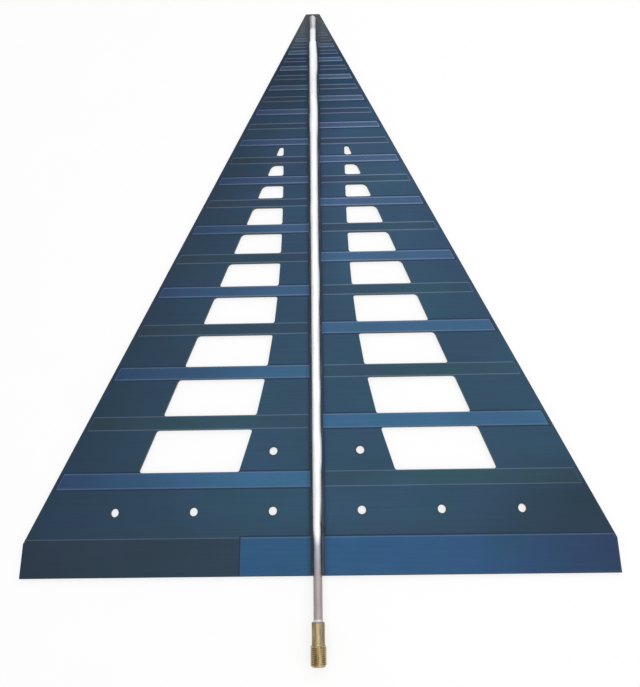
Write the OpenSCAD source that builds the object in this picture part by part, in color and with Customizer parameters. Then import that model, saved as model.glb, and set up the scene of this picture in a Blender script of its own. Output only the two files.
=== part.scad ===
// Log-periodic antenna on a printed board, fed by a semi-rigid coax along its centre strip.
// The board lies flat with its front face up and its tip towards +Y.
// Heights named y are measured from the base edge; the origin is the centre of the four inner
// mounting holes, on the rear face.

/* [Board] */
// Width across the base of the board
board_w = 240; // [200:1:280]
// Length from the base edge to the tip
board_l = 276.5; // [240:0.5:320]
// Thickness of the bare laminate
laminate_t = 1.6; // [0.8:0.1:3.2]
// Height of the parallel sides above the base edge
base_side_h = 13.5; // [8:0.5:20]
// Width of the flat at the tip
tip_w = 7; // [6.6:0.1:12]
// Radius of the two corners at the tip
tip_r = 1; // [0.2:0.1:2]

/* [Arms] */
// Height of the first free arm's centre line above the base edge
first_arm_y = 38.2; // [34:0.1:44]
// Distance from the tip to the point where the row of arms would close up
apex_gap = 19.7; // [15:0.1:30]
// Ratio of each arm's distance from that point to the distance of the arm before it
tau = 0.906; // [0.88:0.001:0.93]
// Width that every arm has, however near the tip
arm_w_min = 1.4; // [0.5:0.05:1.6]
// Width that an arm gains for each millimetre of distance from that point
arm_w_rate = 0.019; // [0.01:0.001:0.024]
// Gap from an arm's end to the slanted side, measured across the board
arm_end_gap = 1.9; // [1:0.1:6]
// Height of the base arm's upper edge above the base edge
base_arm_h = 15; // [8:0.5:20]
// How far the base arm reaches past the centre line
base_stub = 31; // [10:1:60]
// Gap from the base arm to the edges of the board
base_edge_gap = 0.5; // [0.2:0.1:2]
// Width of the centre strip that carries the arms
strip_w = 5.2; // [4.8:0.1:6]

/* [Windows] */
// Height at which the solid spine between the windows stops widening
spine_straight_y = 200; // [180:1:220]
// Half width of the spine at that height
spine_half = 14.7; // [12:0.1:20]
// Half width that the spine gains from that height down to the first arm
spine_flare = 19; // [0:0.5:30]
// Width of the outer rail at the same height
rail_tip_w = 21.6; // [15:0.1:26]
// Width of the outer rail beside the first arm
rail_base_w = 33; // [20:0.5:45]
// Laminate between an arm's edge and a window
window_margin = 0.1; // [0.05:0.05:1]
// Height above which the windows stay further from their arms
window_tip_y = 165; // [120:1:250]
// Further laminate beside those windows
window_tip_margin = 0.5; // [0:0.05:1]
// Radius of the window corners
window_r = 1; // [0.3:0.1:2]
// Radius of the lowest windows' outer corner on the tip side
window_nose_r = 1.6; // [0.3:0.1:3]
// Radius that this corner gains from each window to the next one
window_nose_gain = 0.2; // [0:0.05:0.5]
// Narrowest window top that is still cut
window_min_w = 0.4; // [0.2:0.1:5]

/* [Mounting holes] */
// Diameter of the mounting holes
hole_d = 3.4; // [2.5:0.1:4.5]
// Distance from the centre line to the inner holes
hole_inner_x = 18.25; // [12:0.25:24]
// Pitch of the holes outside the inner ones
hole_pitch = 32.6; // [20:0.1:38]
// Height of the lower row of holes above the base edge
hole_row_y = 25.4; // [20:0.1:30]
// Distance between the two rows of holes
hole_row_gap = 24.6; // [20:0.1:30]
// Bare laminate between copper and a hole
hole_copper_gap = 0.5; // [0.2:0.1:1.5]
// Bare laminate between the solder mask and a hole
hole_mask_gap = 0.2; // [0.1:0.05:0.5]

/* [Copper and solder mask] */
// Thickness of the copper and of the plating in the feed hole
copper_t = 0.035; // [0.018:0.001:0.105]
// Thickness of the solder mask over the copper
mask_t = 0.025; // [0.01:0.005:0.05]
// Width by which the mask laps over bare copper, or stays back from it
mask_lap = 0.1; // [0.05:0.05:0.3]

/* [Coax] */
// Outer diameter of the coax shield
coax_d = 3.58; // [3.2:0.01:3.6]
// Diameter of the coax dielectric
dielectric_d = 2.98; // [2:0.01:3]
// Diameter of the coax centre conductor
conductor_d = 0.92; // [0.5:0.01:0.93]
// Length of bare dielectric near the tip
bare_dielectric_l = 15.6; // [2:0.1:30]
// Length of coax between the base edge and the connector
coax_tail_l = 16.9; // [5:0.1:60]
// Solder film between the coax and the centre strip
solder_film = 0.1; // [0.05:0.05:0.3]

/* [Feed] */
// Distance from the tip to the feed hole
feed_inset = 2.6; // [2.4:0.1:6]
// Diameter of the feed hole in the laminate
feed_hole_d = 1.4; // [1.2:0.1:2]
// Diameter of the copper ring round the feed hole on the front
feed_ring_d = 2.6; // [2.2:0.1:3.2]
// Diameter of the bare copper round the feed hole on the rear
feed_pad_d = 3.4; // [2.4:0.1:3.8]
// Gap from the end of the front strip to the feed ring
feed_strip_gap = 2.9; // [1:0.1:6]
// Bend radius of the centre conductor on its middle line
feed_bend_r = 1; // [0.7:0.1:1.2]
// Length of bare centre conductor before the bend
bare_conductor_l = 0.5; // [0.2:0.1:3]
// Height of the rear solder bead over the copper
feed_bead_h = 0.5; // [0.4:0.1:1]
// Length of centre conductor that stands out of the rear copper, inside the bead
feed_wire_proud = 0.25; // [0.1:0.05:0.3]
// Height of the front solder cone over the ring
feed_cone_h = 0.6; // [0.2:0.1:0.8]

/* [Connector] */
// Length of the connector
connector_l = 15.9; // [14:0.1:20]
// Outer diameter of the solder ferrule
ferrule_d = 5.1; // [4.8:0.1:5.6]
// Chamfer at the ferrule's mouth
ferrule_chamfer = 0.2; // [0.1:0.05:0.3]
// Depth to which the coax enters the ferrule
coax_depth = 5.6; // [3:0.1:7]
// Radial clearance of the coax in the ferrule
ferrule_clear = 0.03; // [0.01:0.01:0.1]
// Length of the solder cone on the coax at the ferrule
ferrule_solder_l = 0.9; // [0.3:0.1:2]
// Length of the threaded barrel
thread_l = 7.6; // [6:0.1:8]
// Outer diameter of the thread
thread_d = 6.35; // [6:0.05:7]
// Chamfer at both ends of the thread
thread_chamfer = 0.4; // [0.1:0.05:0.5]
// Diameter of the open socket at the mouth
socket_d = 4.6; // [4.4:0.05:4.8]
// Depth of the open socket
socket_depth = 1.9; // [1:0.1:2.5]
// Diameter of the insulator
insulator_d = 4.1; // [3.8:0.05:4.3]
// Outer diameter of the contact
contact_d = 1.27; // [1.2:0.01:1.6]
// Diameter of the holes in both ends of the contact
contact_bore_d = 0.95; // [0.94:0.01:1.05]
// Depth of the contact's hole at the mouth
contact_bore_l = 3; // [2.6:0.1:4]
// Length of centre conductor held in the contact
conductor_depth = 2; // [1:0.1:3]
// Width of the contact's slots
contact_slot_w = 0.15; // [0.1:0.01:0.2]
// Length of the contact's slots
contact_slot_l = 2.4; // [1:0.1:2.5]

/* [Hidden] */
$fn = 64;

// Faces of the layers, counted up from the rear face
film_t = copper_t + mask_t;
laminate_z = film_t;
front_z = laminate_z + laminate_t;
front_copper_z = front_z + copper_t;

// Origin at the centre of the four inner holes
origin_y = hole_row_y + hole_row_gap / 2;
// Holes of the lower row outside the inner one, on each side
outer_holes = 2;

// Outline of the board
side_slope = (board_w - tip_w) / 2 / (board_l - base_side_h);
function side_x(y) = min(board_w / 2, tip_w / 2 + side_slope * (board_l - y));

// Feed hole and the places along the centre line that follow from it
feed_y = board_l - feed_inset;
bend_y = feed_y - feed_bend_r;
dielectric_end_y = bend_y - bare_conductor_l;
shield_end_y = dielectric_end_y - bare_dielectric_l;
front_strip_end_y = feed_y - feed_ring_d / 2 - feed_strip_gap;
rear_strip_end_y = feed_y + feed_pad_d / 2 + mask_lap;
plated_r = feed_hole_d / 2 - copper_t;

// Row of arms, numbered from the first free arm towards the tip
apex_y = board_l + apex_gap;
first_arm_r = apex_y - first_arm_y;
function arm_r(n) = first_arm_r * pow(tau, n);
function arm_w(n) = arm_w_min + arm_w_rate * arm_r(n);
function arm_low_y(n) = apex_y - arm_r(n) - arm_w(n) / 2;
function arm_high_y(n) = arm_low_y(n) + arm_w(n);
function arm_end_x(y) = side_x(y) - arm_end_gap;
// Arms start well inside the centre strip
arm_root_x = strip_w / 4;
function arms_below(limit, n = 0) = arm_high_y(n) > limit ? n : arms_below(limit, n + 1);
arm_count = arms_below(front_strip_end_y);

// Sides of the windows; the spine widens slowly at first, then faster
flare_power = 3;
function spine_share(y) = (spine_straight_y - y) / (spine_straight_y - first_arm_y);
function spine_x(y) = spine_half + spine_flare * pow(max(0, spine_share(y)), flare_power);
function rail_w(y) = rail_tip_w + (rail_base_w - rail_tip_w) * spine_share(y);
function rail_x(y) = side_x(y) - rail_w(y);
function window_gap(n) = window_margin + (arm_high_y(n) > window_tip_y ? window_tip_margin : 0);
function window_low_y(n) = arm_high_y(n) + window_gap(n);
function window_high_y(n) = arm_low_y(n + 1) - window_gap(n);
function window_fits(n) = rail_x(window_high_y(n)) - spine_x(window_high_y(n)) >= window_min_w
    && window_high_y(n) - window_low_y(n) >= window_min_w;

// Coax axis, and the solder fillets that touch both the strip and the coax
coax_r = coax_d / 2;
coax_rise = solder_film + coax_r;
coax_z = front_copper_z + coax_rise;
strip_open_half = strip_w / 2 - mask_lap;
fillet_foot_x = strip_open_half - mask_lap;
fillet_r = (fillet_foot_x * fillet_foot_x + coax_rise * coax_rise - coax_r * coax_r)
    / (2 * (coax_r + coax_rise));
fillet_top = coax_rise + (fillet_r - coax_rise) * coax_r / (coax_r + fillet_r);
// Depth by which each scoop cuts past the point where it touches the coax
fillet_bite = 0.02;

// Places along the connector, below the base edge
ferrule_y = -coax_tail_l;
mouth_y = ferrule_y - connector_l;
thread_y = mouth_y + thread_l;
seat_y = ferrule_y - coax_depth;
insulator_y = mouth_y + socket_depth;
wire_end_y = seat_y - conductor_depth;
ferrule_bore_r = coax_r + ferrule_clear;

// Solder beads of revolution
bead_foot_r = feed_pad_d / 2 - mask_lap;
bead_r = (bead_foot_r * bead_foot_r + feed_bead_h * feed_bead_h) / (2 * feed_bead_h);
bead_half_angle = asin(bead_foot_r / bead_r);
cone_foot_r = feed_ring_d / 2 - mask_lap;
cone_top_r = conductor_d / 2 + mask_lap;

// Corner arcs take at most this share of the shorter side beside them
corner_share = 0.45;
arc_steps = 6;
// Length by which a cut runs past the face that it opens
cut_past = 1;

function unit(v) = v / norm(v);

// Points of the arc that rounds the corner p between its neighbours a and b, counter-clockwise
function corner_arc(p, a, b, r) =
    let (
        u = unit(a - p),
        v = unit(b - p),
        half = acos(u * v) / 2,
        reach = min(r / tan(half), corner_share * min(norm(a - p), norm(b - p))),
        arc_r = reach * tan(half),
        centre = p + unit(u + v) * arc_r / sin(half),
        from = p + u * reach - centre,
        start = atan2(from.y, from.x),
        sweep = 180 - 2 * half
    )
    [for (i = [0 : arc_steps])
        centre + arc_r * [cos(start + sweep * i / arc_steps), sin(start + sweep * i / arc_steps)]];

// A counter-clockwise outline with the given radius at each of its corners
function rounded(points, radii) =
    let (last = len(points))
    [for (i = [0 : last - 1])
        each radii[i] == 0
            ? [points[i]]
            : corner_arc(points[i], points[(i + last - 1) % last], points[(i + 1) % last], radii[i])];

// An outline as given for side 1, or its mirror image across the centre line for side -1
function sided(points, side) =
    let (last = len(points) - 1)
    side > 0 ? points : [for (i = [0 : last]) [-points[last - i].x, points[last - i].y]];

module placed() {
    translate([0, -origin_y, 0])
        children();
}

// Turns a shape that stands on +Z so that it lies along +Y on the coax axis
module along_coax() {
    placed()
        translate([0, 0, coax_z])
            rotate([-90, 0, 0])
                children();
}

module tube(outer_d, inner_d, from_y, to_y) {
    translate([0, 0, from_y])
        linear_extrude(to_y - from_y)
            difference() {
                circle(d = outer_d);
                circle(d = inner_d);
            }
}

module both_sides() {
    children();
    mirror([1, 0, 0])
        children();
}

module holes_2d(d) {
    for (step = [0 : outer_holes])
        both_sides()
            translate([hole_inner_x + step * hole_pitch, hole_row_y])
                circle(d = d);
    both_sides()
        translate([hole_inner_x, hole_row_y + hole_row_gap])
            circle(d = d);
}

module window_2d(n) {
    low = window_low_y(n);
    high = window_high_y(n);
    polygon(rounded(
        [[spine_x(low), low], [rail_x(low), low], [rail_x(high), high], [spine_x(high), high]],
        [window_r, window_r, window_nose_r + n * window_nose_gain, window_r]
    ));
}

module board_2d() {
    half_w = board_w / 2;
    half_tip = tip_w / 2;
    difference() {
        polygon(rounded(
            [
                [-half_w, 0], [half_w, 0], [half_w, base_side_h],
                [half_tip, board_l], [-half_tip, board_l], [-half_w, base_side_h]
            ],
            [0, 0, 0, tip_r, tip_r, 0]
        ));
        for (n = [0 : arm_count - 2])
            if (window_fits(n))
                both_sides()
                    window_2d(n);
        holes_2d(hole_d);
    }
}

// Arm n on the right for side 1, on the left for side -1
module arm_2d(n, side) {
    low = arm_low_y(n);
    high = arm_high_y(n);
    polygon(sided(
        [[arm_root_x, low], [arm_end_x(low), low], [arm_end_x(high), high], [arm_root_x, high]],
        side
    ));
}

module base_arm_2d(side) {
    knee = base_arm_h > base_side_h ? [[side_x(base_side_h) - base_edge_gap, base_side_h]] : [];
    polygon(sided(
        concat(
            [[-base_stub, base_edge_gap], [side_x(0) - base_edge_gap, base_edge_gap]],
            knee,
            [[side_x(base_arm_h) - base_edge_gap, base_arm_h], [-base_stub, base_arm_h]]
        ),
        side
    ));
}

// Centre strip, base arm on the given side, then free arms on the other side and on this one in turn
module copper_2d(strip_end_y, side) {
    difference() {
        union() {
            translate([-strip_w / 2, base_edge_gap])
                square([strip_w, strip_end_y - base_edge_gap]);
            base_arm_2d(side);
            for (n = [0 : arm_count - 1])
                arm_2d(n, n % 2 == 0 ? -side : side);
        }
        holes_2d(hole_d + 2 * hole_copper_gap);
    }
}

module front_copper_solid() {
    translate([0, 0, front_z])
        linear_extrude(copper_t)
            copper_2d(front_strip_end_y, 1);
}

module rear_copper_solid() {
    translate([0, 0, mask_t])
        linear_extrude(copper_t)
            copper_2d(rear_strip_end_y, -1);
}

// The centre conductor's end, from its bend down to the rear bead
module feed_wire() {
    leg_z = mask_t - feed_wire_proud;
    translate([0, bend_y, coax_z - feed_bend_r])
        rotate([90, 0, 90])
            rotate_extrude(angle = 90)
                translate([feed_bend_r, 0])
                    circle(d = conductor_d);
    translate([0, feed_y, leg_z])
        cylinder(h = coax_z - feed_bend_r - leg_z, d = conductor_d);
}

module laminate() {
    color("#8f9468")
        placed()
            translate([0, 0, laminate_z])
                linear_extrude(laminate_t)
                    difference() {
                        board_2d();
                        translate([0, feed_y])
                            circle(d = feed_hole_d);
                    }
}

module front_copper() {
    color("#b87333")
        placed()
            front_copper_solid();
}

module rear_copper() {
    color("#b87333")
        placed()
            difference() {
                union() {
                    rear_copper_solid();
                    translate([0, feed_y, mask_t])
                        cylinder(h = front_copper_z - mask_t, d = feed_hole_d);
                    translate([0, feed_y, front_z])
                        cylinder(h = copper_t, d = feed_ring_d);
                }
                translate([0, feed_y, mask_t - cut_past])
                    cylinder(h = front_copper_z - mask_t + 2 * cut_past, r = plated_r);
            }
}

module front_mask() {
    color("#35507a")
        placed()
            difference() {
                translate([0, 0, front_z])
                    linear_extrude(film_t)
                        difference() {
                            board_2d();
                            holes_2d(hole_d + 2 * hole_mask_gap);
                            translate([-strip_open_half, -cut_past])
                                square([2 * strip_open_half, shield_end_y + mask_lap + cut_past]);
                            translate([0, feed_y])
                                circle(d = feed_ring_d + 2 * mask_lap);
                        }
                front_copper_solid();
            }
}

module rear_mask() {
    color("#35507a")
        placed()
            difference() {
                linear_extrude(film_t)
                    difference() {
                        board_2d();
                        holes_2d(hole_d + 2 * hole_mask_gap);
                        translate([0, feed_y])
                            circle(d = feed_pad_d);
                    }
                rear_copper_solid();
            }
}

module coax_shield() {
    color("#c9ccd0")
        along_coax()
            tube(coax_d, dielectric_d, seat_y, shield_end_y);
}

module coax_dielectric() {
    color("#f2f2ee")
        along_coax()
            tube(dielectric_d, conductor_d, seat_y, dielectric_end_y);
}

module coax_conductor() {
    color("#d8d3c8") {
        along_coax()
            translate([0, 0, wire_end_y])
                cylinder(h = bend_y - wire_end_y, d = conductor_d);
        placed()
            feed_wire();
    }
}

// Fillets on both sides of the coax, joined by the film under it
module seam_solder() {
    color("#b9bcc0")
        placed()
            translate([0, shield_end_y, front_copper_z])
                rotate([90, 0, 0])
                    linear_extrude(shield_end_y - base_edge_gap)
                        difference() {
                            translate([-fillet_foot_x, 0])
                                square([2 * fillet_foot_x, fillet_top]);
                            translate([0, coax_rise])
                                circle(r = coax_r);
                            both_sides()
                                translate([fillet_foot_x, fillet_r])
                                    circle(r = fillet_r + fillet_bite);
                        }
}

// Bead on the rear copper, fill of the plated hole and cone on the front ring, round the wire
module feed_solder() {
    bead = [for (i = [0 : arc_steps])
        let (angle = bead_half_angle * i / arc_steps)
        [bead_r * sin(angle), mask_t - feed_bead_h + bead_r * (1 - cos(angle))]];
    color("#b9bcc0")
        placed()
            difference() {
                translate([0, feed_y, 0])
                    rotate_extrude()
                        polygon(concat(
                            bead,
                            [
                                [plated_r, mask_t],
                                [plated_r, front_copper_z],
                                [cone_foot_r, front_copper_z],
                                [cone_top_r, front_copper_z + feed_cone_h],
                                [0, front_copper_z + feed_cone_h]
                            ]
                        ));
                feed_wire();
            }
}

module connector_body() {
    color("#caa24a")
        along_coax()
            rotate_extrude()
                polygon([
                    [ferrule_bore_r, ferrule_y],
                    [ferrule_d / 2 - ferrule_chamfer, ferrule_y],
                    [ferrule_d / 2, ferrule_y - ferrule_chamfer],
                    [ferrule_d / 2, thread_y],
                    [thread_d / 2 - thread_chamfer, thread_y],
                    [thread_d / 2, thread_y - thread_chamfer],
                    [thread_d / 2, mouth_y + thread_chamfer],
                    [thread_d / 2 - thread_chamfer, mouth_y],
                    [socket_d / 2, mouth_y],
                    [socket_d / 2, insulator_y],
                    [insulator_d / 2, insulator_y],
                    [insulator_d / 2, seat_y],
                    [ferrule_bore_r, seat_y]
                ]);
}

module connector_insulator() {
    color("#f2f2ee")
        along_coax()
            tube(insulator_d, contact_d, insulator_y, seat_y);
}

// Socket contact, drilled at both ends and slotted crosswise at the mouth
module connector_contact() {
    color("#caa24a")
        along_coax()
            difference() {
                translate([0, 0, insulator_y])
                    cylinder(h = seat_y - insulator_y, d = contact_d);
                translate([0, 0, insulator_y - cut_past])
                    cylinder(h = contact_bore_l + cut_past, d = contact_bore_d);
                translate([0, 0, wire_end_y])
                    cylinder(h = conductor_depth + cut_past, d = contact_bore_d);
                for (turn = [0, 90])
                    rotate([0, 0, turn])
                        translate([-contact_d, -contact_slot_w / 2, insulator_y - cut_past])
                            cube([2 * contact_d, contact_slot_w, contact_slot_l + cut_past]);
            }
}

module ferrule_solder() {
    color("#b9bcc0")
        along_coax()
            rotate_extrude()
                polygon([
                    [coax_r, ferrule_y],
                    [ferrule_d / 2 - ferrule_chamfer, ferrule_y],
                    [coax_r, ferrule_y + ferrule_solder_l]
                ]);
}

laminate();
front_copper();
rear_copper();
front_mask();
rear_mask();
coax_shield();
coax_dielectric();
coax_conductor();
seam_solder();
feed_solder();
connector_body();
connector_insulator();
connector_contact();
ferrule_solder();
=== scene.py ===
"""Looks of the log-periodic antenna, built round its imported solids.

Both solder mask films are rebuilt with a step over every copper edge. The coax, its solder seam and the jack
get the ripples and the thread that the solids leave out. Every surface gets a material of its own.
Sizes are in millimetres in the row frame, until a mesh is made of them.
"""

import math

import bmesh
import bpy
import numpy as np
from mathutils import Matrix, Vector, noise
from mathutils.geometry import delaunay_2d_cdt


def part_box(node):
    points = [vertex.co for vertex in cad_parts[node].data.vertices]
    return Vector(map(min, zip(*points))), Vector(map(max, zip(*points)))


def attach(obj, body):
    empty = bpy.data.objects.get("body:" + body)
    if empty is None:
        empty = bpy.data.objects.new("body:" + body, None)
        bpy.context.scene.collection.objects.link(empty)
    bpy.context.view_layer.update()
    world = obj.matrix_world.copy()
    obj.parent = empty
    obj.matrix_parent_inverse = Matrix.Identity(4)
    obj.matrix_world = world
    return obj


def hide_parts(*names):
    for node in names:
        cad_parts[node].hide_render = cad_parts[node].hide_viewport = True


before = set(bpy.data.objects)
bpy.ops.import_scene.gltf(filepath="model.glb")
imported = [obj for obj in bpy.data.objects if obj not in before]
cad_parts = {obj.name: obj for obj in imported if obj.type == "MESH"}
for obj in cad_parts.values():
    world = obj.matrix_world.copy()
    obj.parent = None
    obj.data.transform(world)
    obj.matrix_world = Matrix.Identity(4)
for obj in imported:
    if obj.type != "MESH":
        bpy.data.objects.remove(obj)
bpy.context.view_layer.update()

MM = 0.001
BODY = "root"

# Camera at the photograph's viewing angle
CAMERA_AT = (7.95, -32.357, 289.889)
CAMERA_PITCH = 17.667
CAMERA_YAW = 3.791
CAMERA_ROLL = -4.626
LENS = 36.0
SENSOR = 36.0

# Floor, light and world
FLOOR_Z = -0.5
FLOOR_SIZE = 30000
FLOOR_WHITE = 0.72
FLOOR_FADE = (300, 1200)
KEY_AT = (200, 90, 700)
KEY_SIZE = 1200
KEY_POWER = 5.5
AMBIENT = 0.45

# Board: thickness of the copper and of the mask over it
COPPER_T = 0.035
MASK_T = 0.025
# Zones of a film, measured from the edge of the copper under it: a light line inside that edge, the slope
# down from it and a painted shade beyond
LINE_W = 0.4
STEP_W = 0.14
SHADE_W = 0.75
# How far the copper on the far side seems to spread, seen through the board
FAR_SPREAD = 0.11
# Darker rim along the outline and round the mounting holes, which are told by their width in the film
RIM_W = 0.35
HOLE_W = 3.8
HOLE_TOLERANCE = 0.1
# The copper has no light line along the base edge, up to this height
PLAIN_H = 2.0
# Distances too small to count, and the limit on how far a sharp corner moves with its outline
NEAR = 0.005
WELD = 0.0001
MITRE_LIMIT = 0.3
# Pitch of the glass weave under the mask, and of the plies at the board's edge
WEAVE_X = 0.62
WEAVE_Y = 0.54
PLY = 0.21

# Colours of each zone of a mask film. First row: on the base strip, on the lower arms and on the upper arms.
# Second row: on the last arms before the tip, and the painted shade out at the sides.
MASK_ZONES = {
    "mask_on_laminate": (
        (0.017, 0.05, 0.09), (0.0175, 0.062, 0.11), (0.019, 0.053, 0.105),
        (0.007, 0.029, 0.065), (0.009, 0.029, 0.056),
    ),
    "mask_far_line": (
        (0.055, 0.09, 0.13), (0.066, 0.118, 0.182), (0.105, 0.155, 0.23),
        (0.1, 0.14, 0.2), (0.05, 0.08, 0.115),
    ),
    "mask_on_far_copper": (
        (0.014, 0.036, 0.064), (0.02, 0.074, 0.107), (0.018, 0.045, 0.085),
        (0.015, 0.041, 0.082), (0.012, 0.027, 0.046),
    ),
    # Painted shade outside the copper's edges
    "mask_shade": (
        (0.005, 0.022, 0.06), (0.007, 0.03, 0.074), (0.008, 0.026, 0.07),
        (0.006, 0.02, 0.05), (0.006, 0.02, 0.05),
    ),
    "mask_line": (
        (0.05, 0.115, 0.215), (0.062, 0.132, 0.245), (0.115, 0.175, 0.28),
        (0.115, 0.165, 0.25), (0.045, 0.085, 0.16),
    ),
    "mask_on_copper": (
        (0.017, 0.082, 0.19), (0.031, 0.126, 0.245), (0.034, 0.068, 0.145),
        (0.031, 0.068, 0.121), (0.0125, 0.035, 0.09),
    ),
    "mask_rim": (
        (0.012, 0.035, 0.06), (0.014, 0.045, 0.075), (0.018, 0.045, 0.08),
        (0.018, 0.036, 0.06), (0.008, 0.022, 0.04),
    ),
}
# Painted shade at both sides: shares across the board, from -1 on its left side to 1 on its right,
# between which it dims, and the heights between which each side stops doing so
PAINTED_SHADE_LEFT = (-0.27, -1.05)
PAINTED_SHADE_LEFT_Y = (205, 180)
PAINTED_SHADE_RIGHT = (0.32, 0.97)
PAINTED_SHADE_RIGHT_Y = (14, -8)
# A tint that changes nothing
UNTINTED = (1.0, 1.0, 1.0)
# Painted light on a stretch on the right: where it starts, is full, fades and ends, and how much brighter it
# is
LIT_X = (3, 14, 42, 62)
LIT_Y = (40, 140, 203, 220)
LIT_TINT = (1.46, 1.37, 1.31)
# Painted shade on a duller stretch on the left close to the tip
LEFT_TIP_SHADE_X = (-2, -8)
LEFT_TIP_SHADE_Y = (178, 198, 212, 226)
LEFT_TIP_SHADE_TINT = (0.8, 0.75, 0.75)
# How far the painted shade beside the coax reaches
COAX_SHADE = (2.5, 6.0)
# Painted shade close to the coax makes the far copper, seen through the board, less green
FAR_COAX_SHADE = (1.0, 0.84, 0.95)
FAR_COAX_SHADE_X = (36, 12)
# Faint shifts of hue over the mask
MASK_TEAL = (0.94, 1.03, 0.97)
MASK_VIOLET = (1.06, 0.97, 1.03)
# Greyer mask on the last stretch before the tip
TIP_GREY = (0.077, 0.087, 0.099)
TIP_GREY_Y = (214, 234)
# Shares of the board's length at which the first four colours lie
MASK_STOPS = (0.05, 0.09, 0.72, 0.87)
# Where the board's slanted sides would meet, and how far each side spreads for each millimetre below
SIDES_MEET_Y = 246.7
SIDE_SLOPE = 0.443

# Bare copper: darker beside the seam, and dipped dull grey near the tip
COPPER_DARKER_X = (2.6, 3.2)
COPPER_DIPPED_Y = (205, 218)

# Coax: its radii, the rounding of its cut ends and the fineness of its meshes
COAX_R = 1.79
CORE_R = 1.49
WIRE_R = 0.46
CUT_ROUND = 0.1
SEGMENTS = 72
COAX_STEP = 0.8
# Ripples in the tinning and in the bare core: height, and steps of noise in a millimetre along the coax and
# in a radius across it
COAX_RIPPLE = 0.012
COAX_WAVES = (0.25, 2)
CORE_SWELL = 0.015
CORE_WAVES = (0.4, 1)
# Thicker tinning on the flanks: place along the board, reach each way, side and height
TINNING_SWELLS = (
    (207.5, 7.5, 1, 0.4), (174.5, 9.5, 1, 0.34), (87.5, 8.5, 1, 0.28), (37.5, 5.0, 1, 0.16),
    (11.5, 7.0, 1, 0.36), (171.0, 5.0, -1, 0.15), (122.0, 5.0, -1, 0.15),
)
# The tinning is graded from the dull tail to the bright tube on the board, with painted shade in the dull
# part
TINNING_AND_SHADE_Y = (-45, -5)
# Painted shade on the coax's lower flanks where it crosses the base strip: along the board, further along on
# the right flank, where that flank starts, and the height up to which it lies
FLANK_SHADE_Y = (-38.4, -37.0, -24, -19)
FLANK_SHADE_RIGHT_Y = (-38.4, -37.0, -18, -8)
FLANK_SHADE_RIGHT_X = (0.2, 0.8)
FLANK_SHADE_Z = (5.3, 4.5)
FLANK_SHADE = (0.05, 0.05, 0.075)
# The bare core is greyer near the tip, with painted shade on its left flank there and low on its flanks
CORE_GREYER_Y = (225.3, 227.8)
CORE_LEFT_SHADE_X = (-1.4, 0.5)
CORE_LEFT_SHADE = 0.48
CORE_FLANK_SHADE_Z = (3.4, 4.85)

# Solder seam: foot, angle of its top round the tube, how deep it sinks into the tube, and fineness
SEAM_FOOT = 2.46
SEAM_ANGLE = 66
SEAM_SINK = 0.03
SEAM_STEP = 0.5
SEAM_POINTS = 8
UNDER_POINTS = 9
# Middle of a fillet's curve where it is hollow and where it is full, and how full it mostly is
SEAM_HOLLOW = (1.25, 0.03)
SEAM_FULL = (2.15, 1.0)
SEAM_FULLNESS = 0.22
# Waves along the seam, in its fullness, its top and its foot: height, steps of noise in a millimetre and row
FULLNESS_WAVES = ((0.2, 0.3, 5), (0.1, 1.1, 9))
TOP_WAVE = (5, 0.35, 13)
FOOT_WAVE = (0.03, 0.5, 17)
# Lumps on the seam: place along the board, side, reach along the seam and height from 0 to 1
SEAM_LUMPS = ((-19.7, 1, 1.3, 1.0), (-36.0, -1, 1.2, 0.7), (216.5, 1, 1.6, 0.6), (217.5, -1, 1.2, 0.5))
# Flux residue and, on the seam, painted shade of the coax darken solder and turn a little bluer
# between these places. They cover these shares of the seam and of the bright solder.
SEAM_STAIN_AND_SHADE_Y = (-38, 60)
SEAM_FLUX_AND_SHADE = 0.98
BRIGHT_FLUXED = 0.2

# Jack
THREAD_R = 3.175
THREAD_L = 7.6
THREAD_PITCH = 25.4 / 36
THREAD_DEPTH = 0.4
THREAD_FLAT = 0.12
THREAD_CHAMFER = 0.4
MOUTH_CHAMFER = 0.65
ROWS_PER_TURN = 16
FERRULE_R = 2.55
FERRULE_CHAMFER = 0.2
FERRULE_CLEAR = 0.03
SOCKET_R = 2.3
# Bead of solder at the ferrule: how hollow its cone is, its curve, the height of its dents, how far they draw
# it in, and their steps of noise along and across
BEAD_HOLLOW = 0.35
BEAD_CURVE = 0.6
BEAD_UNEVEN = 0.08
BEAD_DRAWN_IN = 0.6
BEAD_WAVES = (0.5, 2)
# Painted shade darkens the plating on the ferrule, and painted light brightens it on the thread
JACK_LIGHT_AND_SHADE_Y = (-62.0, -63.5)


def box_mm(node):
    """Lowest and highest corner of a solid, in millimetres."""
    low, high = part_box(node)
    return Vector(low) / MM, Vector(high) / MM


def ripple(x, y=0.0, z=0.0):
    """Smooth noise between about -1 and 1."""
    return noise.noise(Vector((x, y, z)))


def steps(start, end, size):
    """Even places from one value to another, about that far apart."""
    return np.linspace(start, end, max(2, round(abs(end - start) / size) + 1))


def add_piece(name, points, faces, materials, zones=None, sharp=40, replaces=()):
    """A closed mesh from points in millimetres, riding on the body, with its faces turned outwards."""
    mesh = bpy.data.meshes.new(name)
    mesh.from_pydata((np.asarray(points, float) * MM).tolist(), [], faces)
    for material in materials:
        mesh.materials.append(material)
    if zones is not None:
        mesh.polygons.foreach_set("material_index", zones)
    shape = bmesh.new()
    shape.from_mesh(mesh)
    bmesh.ops.recalc_face_normals(shape, faces=shape.faces)
    shape.to_mesh(mesh)
    shape.free()
    mesh.shade_smooth()
    mesh.set_sharp_from_angle(angle=math.radians(sharp))
    piece = bpy.data.objects.new(name, mesh)
    bpy.context.scene.collection.objects.link(piece)
    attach(piece, BODY)
    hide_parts(*replaces)
    return piece


def dress(node, material):
    """Gives a solid that stays in view its material."""
    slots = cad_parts[node].data.materials
    slots.clear()
    slots.append(material)


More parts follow.
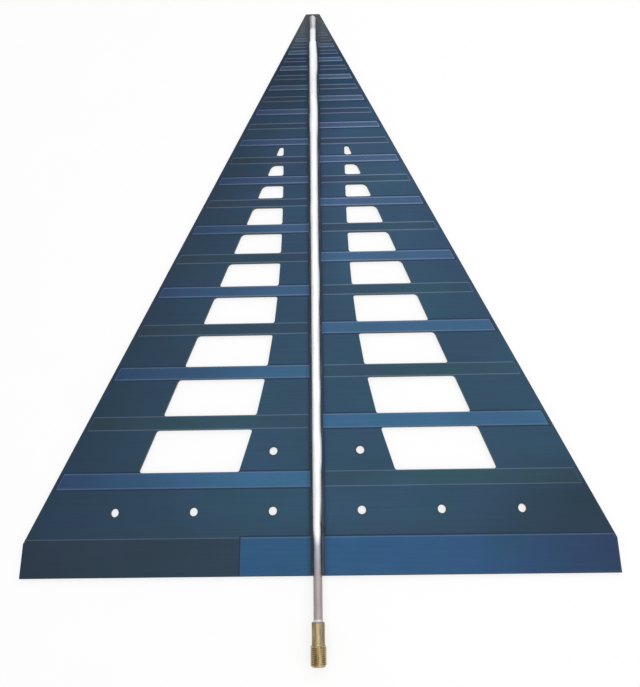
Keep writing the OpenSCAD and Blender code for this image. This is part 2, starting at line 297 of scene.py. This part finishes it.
class Shader:
    """A material's node tree, with one call for each kind of node that the materials here use."""

    def __init__(self, name):
        self.material = bpy.data.materials.new(name)
        self.material.use_nodes = True
        self.tree = self.material.node_tree
        self.surface = self.tree.nodes["Principled BSDF"]
        self.place = self.add("ShaderNodeTexCoord").outputs["Object"]

    def add(self, kind, **settings):
        node = self.tree.nodes.new(kind)
        for setting, value in settings.items():
            setattr(node, setting, value)
        return node

    def feed(self, socket, value):
        """Links an output to a socket, or sets the socket to a number or a colour."""
        if isinstance(value, bpy.types.NodeSocket):
            self.tree.links.new(value, socket)
        elif isinstance(value, tuple):
            socket.default_value = (*value, 1.0)
        else:
            socket.default_value = value

    def set(self, **values):
        """Sets sockets of the surface that are the same all over it."""
        for socket, value in values.items():
            self.surface.inputs[socket.replace("_", " ")].default_value = value

    def axis(self, name):
        """Place along an axis, in metres."""
        parts = self.add("ShaderNodeSeparateXYZ")
        self.feed(parts.inputs["Vector"], self.place)
        return parts.outputs[name]

    def noise(self, *waves, detail=3.0):
        """Noise with that many waves in a metre along X, Y and Z, mostly from 0.3 to 0.7."""
        mapping = self.add("ShaderNodeMapping")
        mapping.inputs["Scale"].default_value = waves
        self.feed(mapping.inputs["Vector"], self.place)
        node = self.add("ShaderNodeTexNoise")
        self.feed(node.inputs["Vector"], mapping.outputs["Vector"])
        self.feed(node.inputs["Scale"], 1.0)
        self.feed(node.inputs["Detail"], detail)
        return node.outputs["Fac"]

    def bands(self, axis, pitch):
        """Even bands across an axis, with that pitch in millimetres."""
        node = self.add("ShaderNodeTexWave", wave_type="BANDS", bands_direction=axis)
        self.feed(node.inputs["Vector"], self.place)
        # At a scale of 1 the node's bands have a pitch of pi / 10
        self.feed(node.inputs["Scale"], math.pi / (10 * pitch * MM))
        return node.outputs["Fac"]

    def spread(self, value, low, high, start=0.3, end=0.7):
        """Maps a value from start to end onto low to high, and no further."""
        node = self.add("ShaderNodeMapRange")
        self.feed(node.inputs["Value"], value)
        for socket, number in zip(("From Min", "From Max", "To Min", "To Max"), (start, end, low, high)):
            self.feed(node.inputs[socket], number)
        return node.outputs["Result"]

    def along(self, axis, start, end):
        """Rises from 0 to 1 between two places on an axis, in millimetres."""
        return self.spread(self.axis(axis), 0.0, 1.0, start * MM, end * MM)

    def between(self, axis, start, full, fade, end):
        """Rises from 0 to 1 between the first two places on an axis and falls again between the last two."""
        return self.math("MINIMUM", self.along(axis, start, full), self.along(axis, end, fade))

    def aside(self, start, end):
        """Rises from 0 to 1 between two distances from the coax's axis, in millimetres."""
        return self.spread(self.math("ABSOLUTE", self.axis("X")), 0.0, 1.0, start * MM, end * MM)

    def across(self, start, end):
        """Rises from 0 to 1 between two shares across the board, -1 on its left side and 1 on its right."""
        below = self.math("SUBTRACT", SIDES_MEET_Y * MM, self.axis("Y"))
        share = self.math("DIVIDE", self.axis("X"), self.math("MULTIPLY", below, SIDE_SLOPE))
        return self.spread(share, 0.0, 1.0, start, end)

    def math(self, operation, first, second=0.0):
        node = self.add("ShaderNodeMath", operation=operation)
        self.feed(node.inputs[0], first)
        self.feed(node.inputs[1], second)
        return node.outputs["Value"]

    def mixed(self, share, first, second):
        """Two values mixed, with that share of the second."""
        return self.math(
            "ADD", self.math("MULTIPLY", first, 1.0 - share), self.math("MULTIPLY", second, share)
        )

    def ramp(self, value, *stops):
        """Colour by value; each stop is a place from 0 to 1 and a colour."""
        node = self.add("ShaderNodeValToRGB")
        marks = node.color_ramp.elements
        while len(marks) < len(stops):
            marks.new(1.0)
        for mark, (place, colour) in zip(marks, stops):
            mark.position = place
            mark.color = (*colour, 1.0)
        self.feed(node.inputs["Fac"], value)
        return node.outputs["Color"]

    def blend(self, share, first, second):
        """Two colours mixed by a value from 0 to 1."""
        node = self.add("ShaderNodeMix", data_type="RGBA")
        colours = [socket for socket in node.inputs if socket.type == "RGBA"]
        self.feed(node.inputs["Factor"], share)
        self.feed(colours[0], first)
        self.feed(colours[1], second)
        return next(socket for socket in node.outputs if socket.type == "RGBA")

    def shaded(self, colour, value, low, high):
        """A colour made darker or lighter by a value, between two strengths."""
        node = self.add("ShaderNodeVectorMath", operation="SCALE")
        self.feed(node.inputs["Vector"], colour)
        self.feed(node.inputs["Scale"], self.spread(value, low, high))
        return node.outputs["Vector"]

    def tinted(self, colour, tint):
        """A colour multiplied by another."""
        node = self.add("ShaderNodeVectorMath", operation="MULTIPLY")
        self.feed(node.inputs[0], colour)
        self.feed(node.inputs[1], tint)
        return node.outputs["Vector"]

    def colour(self, output):
        self.feed(self.surface.inputs["Base Color"], output)

    def rough(self, value, low, high):
        self.feed(self.surface.inputs["Roughness"], self.spread(value, low, high))

    def bump(self, height, depth, strength=1.0):
        """Relief of that depth in millimetres, on top of any relief given before."""
        node = self.add("ShaderNodeBump")
        socket = self.surface.inputs["Normal"]
        if socket.links:
            self.feed(node.inputs["Normal"], socket.links[0].from_socket)
        self.feed(node.inputs["Distance"], depth * MM)
        self.feed(node.inputs["Strength"], strength)
        self.feed(node.inputs["Height"], height)
        self.feed(socket, node.outputs["Normal"])


def mask_material(name, *colours):
    """Semi-gloss solder mask: cloudy, scrubbed along the arms, graded over the board with painted light and
    shade, on a glass weave.
    """
    s = Shader(name)
    *graded, painted_shade = colours
    cloud = s.noise(22, 30, 30, detail=4.0)
    scrub = s.noise(25, 1400, 25, detail=2.0)
    grain = s.noise(2600, 2600, 2600, detail=2.0)
    tint = s.ramp(s.noise(45, 45, 45, detail=2.0), (0.35, MASK_TEAL), (0.65, MASK_VIOLET))
    colour = s.ramp(s.along("Y", BOARD_LOW.y, BOARD_HIGH.y), *zip(MASK_STOPS, graded))
    # Painted shade at the board's left and right sides
    left = s.math("MULTIPLY", s.across(*PAINTED_SHADE_LEFT), s.along("Y", *PAINTED_SHADE_LEFT_Y))
    right = s.math("MULTIPLY", s.across(*PAINTED_SHADE_RIGHT), s.along("Y", *PAINTED_SHADE_RIGHT_Y))
    colour = s.blend(s.math("MAXIMUM", left, right), colour, painted_shade)
    # Painted light on a stretch to the right
    lit = s.math("MULTIPLY", s.between("X", *LIT_X), s.between("Y", *LIT_Y))
    colour = s.tinted(colour, s.blend(lit, UNTINTED, LIT_TINT))
    # Painted shade on the left close to the tip
    dull = s.math("MULTIPLY", s.along("X", *LEFT_TIP_SHADE_X), s.between("Y", *LEFT_TIP_SHADE_Y))
    colour = s.tinted(colour, s.blend(dull, UNTINTED, LEFT_TIP_SHADE_TINT))
    # Wider painted shade of the coax over the far copper, which turns it less green
    if name == "mask_on_far_copper":
        colour = s.tinted(colour, s.blend(s.aside(*FAR_COAX_SHADE_X), UNTINTED, FAR_COAX_SHADE))
    colour = s.blend(s.along("Y", *TIP_GREY_Y), colour, TIP_GREY)
    # Painted shade close to the coax
    colour = s.shaded(colour, s.aside(*COAX_SHADE), 0.84, 1.0)
    s.colour(s.shaded(s.tinted(colour, tint), s.mixed(0.35, cloud, scrub), 0.82, 1.18))
    s.set(Specular_IOR_Level=0.16)
    s.rough(grain, 0.36, 0.5)
    s.bump(s.math("MULTIPLY", s.bands("X", WEAVE_X), s.bands("Y", WEAVE_Y)), 0.002, 0.5)
    s.bump(grain, 0.003, 0.6)
    return s.material


def laminate_material():
    """Routed edge of glass-epoxy: thin plies, torn fibres and a dusty cut."""
    s = Shader("glass_epoxy")
    fibres = s.noise(1600, 1600, 500, detail=5.0)
    tone = s.mixed(0.6, s.bands("Z", PLY), fibres)
    s.colour(s.ramp(
        tone, (0.25, (0.022, 0.032, 0.04)), (0.55, (0.045, 0.06, 0.062)), (0.8, (0.1, 0.105, 0.08))
    ))
    s.rough(fibres, 0.55, 0.8)
    s.bump(tone, 0.02)
    return s.material


def copper_material():
    """Etched copper: scrubbed, tarnished, darker beside the seam and dipped grey near the tip."""
    s = Shader("etched_copper")
    scrub = s.noise(60, 2200, 60)
    tarnish = s.noise(180, 180, 180, detail=4.0)
    bare = s.ramp(tarnish, (0.35, (0.1, 0.055, 0.035)), (0.65, (0.4, 0.22, 0.13)))
    dipped = s.ramp(tarnish, (0.35, (0.045, 0.046, 0.052)), (0.65, (0.09, 0.09, 0.1)))
    darkened = s.ramp(tarnish, (0.35, (0.012, 0.014, 0.02)), (0.65, (0.03, 0.034, 0.045)))
    beside_seam = s.blend(s.aside(*COPPER_DARKER_X), darkened, bare)
    s.colour(s.blend(s.along("Y", *COPPER_DIPPED_Y), beside_seam, dipped))
    s.set(Metallic=1.0)
    s.rough(scrub, 0.3, 0.5)
    s.bump(scrub, 0.002)
    return s.material


def shield_material():
    """Tinned tube: bright along the board, lilac-grey and then dull on the tail, where no iron reached.
    The lilac-grey and dull parts are partly painted shade, and painted shade darkens its lower flanks
    on the base strip.
    """
    s = Shader("tinned_shield")
    patches = s.noise(240, 90, 240, detail=4.0)
    drawn = s.noise(1500, 25, 1500)
    # Partly painted shade towards the tail
    graded = s.ramp(
        s.along("Y", *TINNING_AND_SHADE_Y),
        (0.15, (0.34, 0.3, 0.29)), (0.3, (0.285, 0.295, 0.35)),
        (0.46, (0.37, 0.38, 0.435)), (0.6, (0.93, 0.95, 0.96)),
    )
    # Painted shade on the lower flanks over the base strip, ragged at its top
    right = s.math("MULTIPLY", s.between("Y", *FLANK_SHADE_RIGHT_Y), s.along("X", *FLANK_SHADE_RIGHT_X))
    reach = s.math("MAXIMUM", s.between("Y", *FLANK_SHADE_Y), right)
    ragged = s.math("ADD", s.along("Z", *FLANK_SHADE_Z), s.spread(patches, -0.3, 0.3))
    darkened = s.math("MULTIPLY", reach, s.spread(ragged, 0.0, 1.0, 0.1, 0.9))
    s.colour(s.shaded(s.blend(darkened, graded, FLANK_SHADE), patches, 0.86, 1.0))
    s.feed(s.surface.inputs["Metallic"], s.spread(patches, 0.1, 0.5))
    s.rough(patches, 0.24, 0.45)
    s.bump(drawn, 0.004)
    s.bump(patches, 0.03)
    return s.material


def solder_material(name, stain_cover):
    """Frosted solder under a dark stain. Flux residue is part of it, and on the seam so is painted
    shade of the coax; the argument is the share that the stain covers where it lies thickest.
    """
    s = Shader(name)
    frost = s.noise(900, 900, 900, detail=4.0)
    residue = s.noise(320, 110, 320, detail=4.0)
    metal = s.ramp(frost, (0.3, (0.5, 0.5, 0.52)), (0.7, (0.72, 0.73, 0.75)))
    stain = s.blend(s.along("Y", *SEAM_STAIN_AND_SHADE_Y), (0.018, 0.02, 0.03), (0.014, 0.021, 0.034))
    s.colour(s.blend(s.spread(residue, stain_cover, 0.85 * stain_cover, 0.45, 0.8), metal, stain))
    s.set(Metallic=1.0 - 0.92 * stain_cover, Specular_IOR_Level=0.2)
    s.rough(frost, 0.35, 0.6)
    s.bump(frost, 0.01)
    return s.material


def ptfe_material(name, marked_near_tip):
    """White fluoropolymer, waxy and faintly cloudy. The flag tells whether it is greyer near the tip,
    with painted shade on its left and low on its flanks.
    """
    s = Shader(name)
    cloud = s.noise(300, 120, 300)
    colour = s.ramp(cloud, (0.3, (0.88, 0.9, 0.92)), (0.7, (0.96, 0.97, 0.98)))
    if marked_near_tip:
        greyer = s.ramp(cloud, (0.3, (0.55, 0.54, 0.59)), (0.7, (0.68, 0.67, 0.72)))
        # Painted shade on the left flank
        greyer = s.shaded(greyer, s.along("X", *CORE_LEFT_SHADE_X), CORE_LEFT_SHADE, 1.0)
        # Painted shade low on the flanks
        flank_shade = s.ramp(cloud, (0.3, (0.13, 0.125, 0.13)), (0.7, (0.2, 0.19, 0.2)))
        colour = s.blend(s.along("Y", *CORE_GREYER_Y), colour, greyer)
        colour = s.blend(s.along("Z", *CORE_FLANK_SHADE_Z), flank_shade, colour)
    s.colour(colour)
    s.set(Subsurface_Weight=0.15, Subsurface_Scale=MM, Specular_IOR_Level=0.35)
    s.rough(cloud, 0.4, 0.55)
    s.bump(s.noise(80, 1800, 80, detail=2.0), 0.01)
    return s.material


def wire_material():
    """Silvered wire with draw marks and a little tarnish."""
    s = Shader("silvered_wire")
    drawn = s.noise(2200, 60, 2200)
    s.colour(s.ramp(s.noise(500, 500, 500), (0.3, (0.6, 0.57, 0.52)), (0.7, (0.85, 0.83, 0.79))))
    s.set(Metallic=1.0)
    s.rough(drawn, 0.2, 0.35)
    s.bump(drawn, 0.004)
    return s.material


def gold_material():
    """Gold plating, browned in streaks along the jack and turned finely round it."""
    s = Shader("gold_plate")
    streaks = s.noise(900, 140, 900, detail=4.0)
    turned = s.noise(60, 3000, 60, detail=2.0)
    plate = s.ramp(
        streaks, (0.3, (0.2, 0.15, 0.08)), (0.48, (0.33, 0.255, 0.145)), (0.7, (0.47, 0.39, 0.245))
    )
    # Painted shade on the ferrule, painted light on the thread
    s.colour(s.shaded(plate, s.along("Y", *JACK_LIGHT_AND_SHADE_Y), 0.78, 1.22))
    s.set(Metallic=1.0)
    s.rough(turned, 0.28, 0.42)
    s.bump(turned, 0.004)
    return s.material


def loops_at(node, z):
    """Closed outlines of a solid's flat face at a height, with the face on their left seen from above."""
    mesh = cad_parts[node].data
    border = set()
    for polygon in mesh.polygons:
        corners = [mesh.vertices[i].co / MM for i in polygon.vertices]
        if any(abs(corner.z - z) > NEAR for corner in corners):
            continue
        ring = [(round(corner.x, 3), round(corner.y, 3)) for corner in corners]
        edges = [(a, b) for a, b in zip(ring, ring[1:] + ring[:1]) if a != b]
        if sum(a[0] * b[1] - a[1] * b[0] for a, b in edges) < 0:
            edges = [(b, a) for a, b in edges]
        for a, b in edges:
            if (b, a) in border:
                border.remove((b, a))
            else:
                border.add((a, b))
    after = dict(sorted(border))
    loops = []
    while after:
        start, here = after.popitem()
        loop = [start]
        while here != start:
            loop.append(here)
            here = after.pop(here)
        loops.append(np.array(loop))
    return loops


def moved_out(loops, distance):
    """Outlines moved away from the face that they bound, or into it where the distance is negative."""
    moved = []
    for loop in loops:
        ahead = np.roll(loop, -1, axis=0) - loop
        ahead /= np.linalg.norm(ahead, axis=1)[:, None]
        out = np.column_stack((ahead[:, 1], -ahead[:, 0]))
        before = np.roll(out, 1, axis=0)
        stretch = np.maximum(1 + (out * before).sum(axis=1), MITRE_LIMIT)
        moved.append(loop + distance * (out + before) / stretch[:, None])
    return moved


def inside(points, loops):
    """Which points lie inside an odd number of the outlines."""
    odd = np.zeros(len(points), bool)
    x, y = points[:, 0, None], points[:, 1, None]
    for loop in loops:
        ax, ay = loop.T
        bx, by = np.roll(loop, -1, axis=0).T
        rise = np.where(by == ay, 1.0, by - ay)
        crossed = ((ay > y) != (by > y)) & (x < ax + (bx - ax) * (y - ay) / rise)
        odd ^= crossed.sum(axis=1) % 2 == 1
    return odd


def between_lines(points, loops):
    """Which points lie on copper between the light lines along its upper and lower edges."""
    low = points[:, 1] < BOARD_LOW.y + PLAIN_H
    above, below = points + (0, LINE_W), points - (0, LINE_W)
    return inside(points, loops) & inside(above, loops) & (inside(below, loops) | low)


def flat_mesh(loops):
    """Points and triangles of a flat mesh that follows every one of the outlines."""
    points, edges = [], []
    for loop in loops:
        first, count = len(points), len(loop)
        points += [Vector(point) for point in loop]
        edges += [(first + i, first + (i + 1) % count) for i in range(count)]
    corners, _, triangles, *_ = delaunay_2d_cdt(points, edges, [], 0, WELD)
    return np.array([tuple(corner) for corner in corners]), np.array(triangles)


def add_film(name, node, copper, far_copper, face_z, up, materials):
    """A solder mask film as a closed skin that steps over the copper under it, with zones of material."""
    film = loops_at(node, face_z)
    outline = max(film, key=lambda loop: np.ptp(loop[:, 0]))
    line, shade = moved_out(copper, STEP_W), moved_out(copper, SHADE_W)
    far = moved_out(far_copper, FAR_SPREAD)
    lined = [loop + (0, shift) for loop in (*copper, *far) for shift in (LINE_W, -LINE_W)]
    holes = [loop for loop in film if np.allclose(np.ptp(loop, axis=0), HOLE_W, atol=HOLE_TOLERANCE)]
    inner = moved_out([outline, *holes], -RIM_W)
    corners, triangles = flat_mesh([*film, *copper, *far, *line, *shade, *lined, *inner])
    used, triangles = np.unique(triangles[inside(corners[triangles].mean(axis=1), film)], return_inverse=True)
    corners, triangles = corners[used], triangles.reshape(-1, 3)
    centres = corners[triangles].mean(axis=1)
    zone = np.zeros(len(triangles), int)
    for number, part in enumerate((
        inside(centres, far), between_lines(centres, far), inside(centres, shade),
        inside(centres, line), between_lines(centres, copper), ~inside(centres, inner),
    ), start=1):
        zone[part] = number

    drop = np.where(inside(corners, moved_out(copper, NEAR)), 0.0, COPPER_T)
    outer_side = np.column_stack((corners, face_z - up * drop))
    inner_side = outer_side - (0, 0, up * MASK_T)
    count = len(corners)
    edges = {(a, b) for t in triangles.tolist() for a, b in zip(t, t[1:] + t[:1])}
    walls = [(a, b, b + count, a + count) for a, b in sorted(edges) if (b, a) not in edges]
    faces = triangles.tolist() + (triangles[:, ::-1] + count).tolist() + walls
    zones = np.concatenate((zone, zone, np.zeros(len(walls), int)))
    return add_piece(
        name, np.vstack((outer_side, inner_side)), faces, materials, zones, sharp=30, replaces=(node,),
    )


def net(rows, columns, closed):
    """Quads between neighbouring rows, each row a ring of points; closed joins the last row to the first."""
    quads = []
    for row in range(rows if closed else rows - 1):
        here, after = row * columns, (row + 1) % rows * columns
        for column in range(columns):
            beside = (column + 1) % columns
            quads.append((here + column, here + beside, after + beside, after + column))
    return quads


def turned(profile, axis_z, relief):
    """A closed ring about the coax's axis, from a closed profile of (y, radius) with relief added to it."""
    points = []
    for y, radius in profile:
        for angle in np.linspace(0, 2 * math.pi, SEGMENTS, endpoint=False):
            r = radius + relief(y, radius, angle)
            points.append((r * math.cos(angle), y, axis_z + r * math.sin(angle)))
    return points, net(len(profile), SEGMENTS, closed=True)


def add_shield(material):
    """Outer tube of the coax, a little uneven under its tinning, with a rounded cut at the tip end."""
    low, high = box_mm("coax_shield")

    def tinning(y, radius, angle):
        if radius <= CORE_R:
            return 0.0
        along, across = COAX_WAVES
        coat = COAX_RIPPLE * ripple(y * along, across * math.cos(angle), across * math.sin(angle))
        for place, reach, side, height in TINNING_SWELLS:
            flank = max(side * math.cos(angle), 0.0)
            coat += height * flank**2 * math.exp(-(((y - place) / reach) ** 4))
        return coat

    profile = [(y, COAX_R) for y in steps(low.y, high.y - CUT_ROUND, COAX_STEP)]
    profile += [(high.y, COAX_R - CUT_ROUND), (high.y, CORE_R), (low.y, CORE_R)]
    points, faces = turned(profile, AXIS_Z, tinning)
    return add_piece(
        "shield_tube", points, faces, [material], replaces=("coax_shield",)
    )


def add_core(material):
    """White core of the coax; the bare end is swollen by the iron's heat and cut a little out of true."""
    low, high = box_mm("coax_dielectric")
    shield_end = box_mm("coax_shield")[1].y

    def swelling(y, radius, angle):
        if radius < CORE_R - CUT_ROUND or y < shield_end:
            return 0.0
        along, across = CORE_WAVES
        return CORE_SWELL * (1 + ripple(y * along, across * math.cos(angle), across * math.sin(angle)))

    profile = [(low.y, CORE_R)] + [(y, CORE_R) for y in steps(shield_end, high.y - CUT_ROUND, COAX_STEP)]
    profile += [(high.y, CORE_R - CUT_ROUND), (high.y, WIRE_R), (low.y, WIRE_R)]
    points, faces = turned(profile, AXIS_Z, swelling)
    return add_piece("core_tube", points, faces, [material], replaces=("coax_dielectric",))


def wave(y, side, height, rate, row):
    """Unevenness at a place along the seam, different on each side of the coax."""
    return height * ripple(y * rate, side * row)


def seam_side(y, side, rise):
    """Fillet on one side of the coax, from its foot on the copper up to the tube, as (x, height)."""
    fullness = SEAM_FULLNESS
    for fullness_wave in FULLNESS_WAVES:
        fullness += wave(y, side, *fullness_wave)
    for lump_y, lump_side, reach, height in SEAM_LUMPS:
        if side == lump_side:
            fullness += height * math.exp(-(((y - lump_y) / reach) ** 2))
    fullness = min(max(fullness, 0.0), 1.0)
    angle = math.radians(SEAM_ANGLE + wave(y, side, *TOP_WAVE))
    foot = Vector((SEAM_FOOT + wave(y, side, *FOOT_WAVE), 0))
    middle = Vector(SEAM_HOLLOW).lerp(Vector(SEAM_FULL), fullness)
    r = COAX_R - SEAM_SINK
    top = Vector((r * math.sin(angle), rise - r * math.cos(angle)))
    curve = []
    for t in np.linspace(0, 1, SEAM_POINTS):
        curve.append(foot * (1 - t) ** 2 + middle * (2 * t * (1 - t)) + top * t**2)
    return curve, angle


def add_seam(material):
    """Solder on both sides of the coax and under it, uneven and with a few lumps."""
    low, high = box_mm("seam_solder")
    rise = AXIS_Z - low.z
    r = COAX_R - SEAM_SINK
    places = steps(low.y, high.y, SEAM_STEP)
    points = []
    for y in places:
        right, right_angle = seam_side(y, 1, rise)
        left, left_angle = seam_side(y, -1, rise)
        under = np.linspace(right_angle, -left_angle, UNDER_POINTS + 2)[1:-1]
        ring = [(p.x, p.y) for p in right]
        ring += [(r * math.sin(a), rise - r * math.cos(a)) for a in under]
        ring += [(-p.x, p.y) for p in reversed(left)]
        points += [(x, y, low.z + height) for x, height in ring]
    columns = 2 * SEAM_POINTS + UNDER_POINTS
    faces = net(len(places), columns, closed=False)
    last = (len(places) - 1) * columns
    faces += [tuple(range(columns)), tuple(range(last, last + columns))]
    return add_piece("seam_fillets", points, faces, [material], replaces=("seam_solder",))


def add_jack(material):
    """Gold body of the jack: ferrule, shoulder and a barrel with a real thread, bored through."""
    low, high = box_mm("connector_body")
    seat = box_mm("coax_shield")[0].y
    insulator_low, insulator_high = box_mm("connector_insulator")
    insulator_r = (insulator_high.x - insulator_low.x) / 2
    thread_end = low.y + THREAD_L
    bore_r = COAX_R + FERRULE_CLEAR

    def thread(y, radius, angle):
        if radius < THREAD_R:
            return 0.0
        turn = (y / THREAD_PITCH + angle / (2 * math.pi)) % 1.0
        groove = min(max((abs(2 * turn - 1) - THREAD_FLAT) / (1 - 2 * THREAD_FLAT), 0.0), 1.0)
        return -THREAD_DEPTH * groove

    rows = steps(low.y + MOUTH_CHAMFER, thread_end - THREAD_CHAMFER, THREAD_PITCH / ROWS_PER_TURN)
    profile = [
        (high.y, bore_r),
        (high.y, FERRULE_R - FERRULE_CHAMFER),
        (high.y - FERRULE_CHAMFER, FERRULE_R),
        (thread_end, FERRULE_R),
        (thread_end, THREAD_R - THREAD_CHAMFER),
    ]
    profile += [(y, THREAD_R) for y in reversed(rows)]
    profile += [
        (low.y, THREAD_R - MOUTH_CHAMFER),
        (low.y, SOCKET_R),
        (insulator_low.y, SOCKET_R),
        (insulator_low.y, insulator_r),
        (seat, insulator_r),
        (seat, bore_r),
    ]
    points, faces = turned(profile, AXIS_Z, thread)
    return add_piece("jack_body", points, faces, [material], replaces=("connector_body",))


def add_ferrule_bead(material):
    """Hollow cone of solder where the coax enters the ferrule, uneven round its foot."""
    low, high = box_mm("ferrule_solder")
    foot_r = FERRULE_R - FERRULE_CHAMFER

    def unevenness(y, radius, angle):
        share = (radius - COAX_R) / (foot_r - COAX_R)
        along, across = BEAD_WAVES
        dent = ripple(across * math.cos(angle), across * math.sin(angle), y * along) - BEAD_DRAWN_IN
        return BEAD_UNEVEN * share * dent

    profile = [(low.y, COAX_R - SEAM_SINK)]
    for t in np.linspace(0, 1, SEAM_POINTS):
        hollow = BEAD_HOLLOW * 2 * t * (1 - t)
        place = low.y + (high.y - low.y) * t * (1 - hollow)
        radius = foot_r + (COAX_R - foot_r) * t**BEAD_CURVE
        profile.append((place, radius))
    points, faces = turned(profile, AXIS_Z, unevenness)
    return add_piece("ferrule_bead", points, faces, [material], replaces=("ferrule_solder",))


def add_board():
    """Both mask films, from the outlines of the copper under them and of the copper on the far side."""
    front_z, rear_z = box_mm("front_mask")[1].z, box_mm("rear_mask")[0].z
    front = loops_at("front_copper", front_z - MASK_T)
    rear = loops_at("rear_copper", rear_z + MASK_T)
    materials = [mask_material(zone, *colours) for zone, colours in MASK_ZONES.items()]
    add_film("front_film", "front_mask", front, rear, front_z, 1, materials)
    add_film("rear_film", "rear_mask", rear, front, rear_z, -1, materials)


def add_light():
    """One large softbox overhead, with its face down."""
    lamp = bpy.data.lights.new("softbox", "AREA")
    lamp.size = KEY_SIZE * MM
    lamp.energy = KEY_POWER
    softbox = bpy.data.objects.new("softbox", lamp)
    softbox.location = Vector(KEY_AT) * MM
    bpy.context.scene.collection.objects.link(softbox)


def add_camera():
    """Camera at the photograph's viewing angle."""
    lens = bpy.data.cameras.new("camera")
    lens.lens, lens.sensor_width = LENS, SENSOR
    camera = bpy.data.objects.new("camera", lens)
    yaw, pitch, roll = (math.radians(angle) for angle in (CAMERA_YAW, CAMERA_PITCH, CAMERA_ROLL))
    turn = Matrix.Rotation(yaw, 4, "Z") @ Matrix.Rotation(pitch, 4, "X") @ Matrix.Rotation(roll, 4, "Z")
    camera.matrix_world = Matrix.Translation(Vector(CAMERA_AT) * MM) @ turn
    bpy.context.scene.collection.objects.link(camera)
    bpy.context.scene.camera = camera


def seen_directly(tree):
    """Is 1 for the camera and for reflections and glass, and 0 for the light that falls on the object."""
    rays = tree.nodes.new("ShaderNodeLightPath").outputs
    share = rays["Is Camera Ray"]
    for ray in ("Is Glossy Ray", "Is Transmission Ray"):
        highest = tree.nodes.new("ShaderNodeMath")
        highest.operation = "MAXIMUM"
        tree.links.new(share, highest.inputs[0])
        tree.links.new(rays[ray], highest.inputs[1])
        share = highest.outputs["Value"]
    return share


def add_world():
    """White surround for the camera and for reflections, and an even grey fill for the light."""
    world = bpy.data.worlds.new("surround")
    world.use_nodes = True
    bpy.context.scene.world = world
    tree = world.node_tree
    fill = tree.nodes["Background"]
    fill.inputs["Color"].default_value = (AMBIENT, AMBIENT, AMBIENT, 1.0)
    white = tree.nodes.new("ShaderNodeBackground")
    white.inputs["Color"].default_value = (1.0, 1.0, 1.0, 1.0)
    mix = tree.nodes.new("ShaderNodeMixShader")
    tree.links.new(seen_directly(tree), mix.inputs["Fac"])
    tree.links.new(fill.outputs["Background"], mix.inputs[1])
    tree.links.new(white.outputs["Background"], mix.inputs[2])
    tree.links.new(mix.outputs["Shader"], tree.nodes["World Output"].inputs["Surface"])


def add_floor():
    """Wide pale floor that looks white, most of all far from the object, and keeps a soft shadow."""
    s = Shader("floor")
    s.colour(s.ramp(s.noise(40, 40, 40), (0.3, (0.97, 0.97, 0.97)), (0.7, (0.99, 0.99, 0.99))))
    s.set(Roughness=0.9, Specular_IOR_Level=0.0)
    white = s.add("ShaderNodeEmission")
    mix = s.add("ShaderNodeMixShader")
    distance = s.add("ShaderNodeVectorMath", operation="LENGTH")
    s.feed(distance.inputs["Vector"], s.place)
    fade = s.spread(distance.outputs["Value"], FLOOR_WHITE, 1.0, *(place * MM for place in FLOOR_FADE))
    s.feed(mix.inputs["Fac"], s.math("MULTIPLY", seen_directly(s.tree), fade))
    s.feed(mix.inputs[1], s.surface.outputs["BSDF"])
    s.feed(mix.inputs[2], white.outputs["Emission"])
    s.feed(s.tree.nodes["Material Output"].inputs["Surface"], mix.outputs["Shader"])
    half = FLOOR_SIZE / 2 * MM
    mesh = bpy.data.meshes.new("floor")
    corners = [(x * half, y * half, FLOOR_Z * MM) for x, y in ((-1, -1), (1, -1), (1, 1), (-1, 1))]
    mesh.from_pydata(corners, [], [(0, 1, 2, 3)])
    mesh.materials.append(s.material)
    floor = bpy.data.objects.new("floor", mesh)
    bpy.context.scene.collection.objects.link(floor)


AXIS_Z = sum(corner.z for corner in box_mm("coax_shield")) / 2
BOARD_LOW, BOARD_HIGH = box_mm("laminate")

add_camera()
add_light()
add_world()
add_floor()

# Seam solder with painted shade of the coax in its dark stain
solder = solder_material("flux_and_shade_solder", SEAM_FLUX_AND_SHADE)
bright_solder = solder_material("clean_solder", BRIGHT_FLUXED)
core, ptfe = ptfe_material("ptfe_core", True), ptfe_material("ptfe", False)
copper, gold, wire = copper_material(), gold_material(), wire_material()
add_board()
add_shield(shield_material())
add_core(core)
add_seam(solder)
add_jack(gold)
add_ferrule_bead(bright_solder)
dress("laminate", laminate_material())
for node, material in (
    ("front_copper", copper),
    ("rear_copper", copper),
    ("coax_conductor", wire),
    ("feed_solder", bright_solder),
    ("connector_insulator", ptfe),
    ("connector_contact", gold),
):
    dress(node, material)

bpy.context.scene.view_settings.view_transform = "Standard"
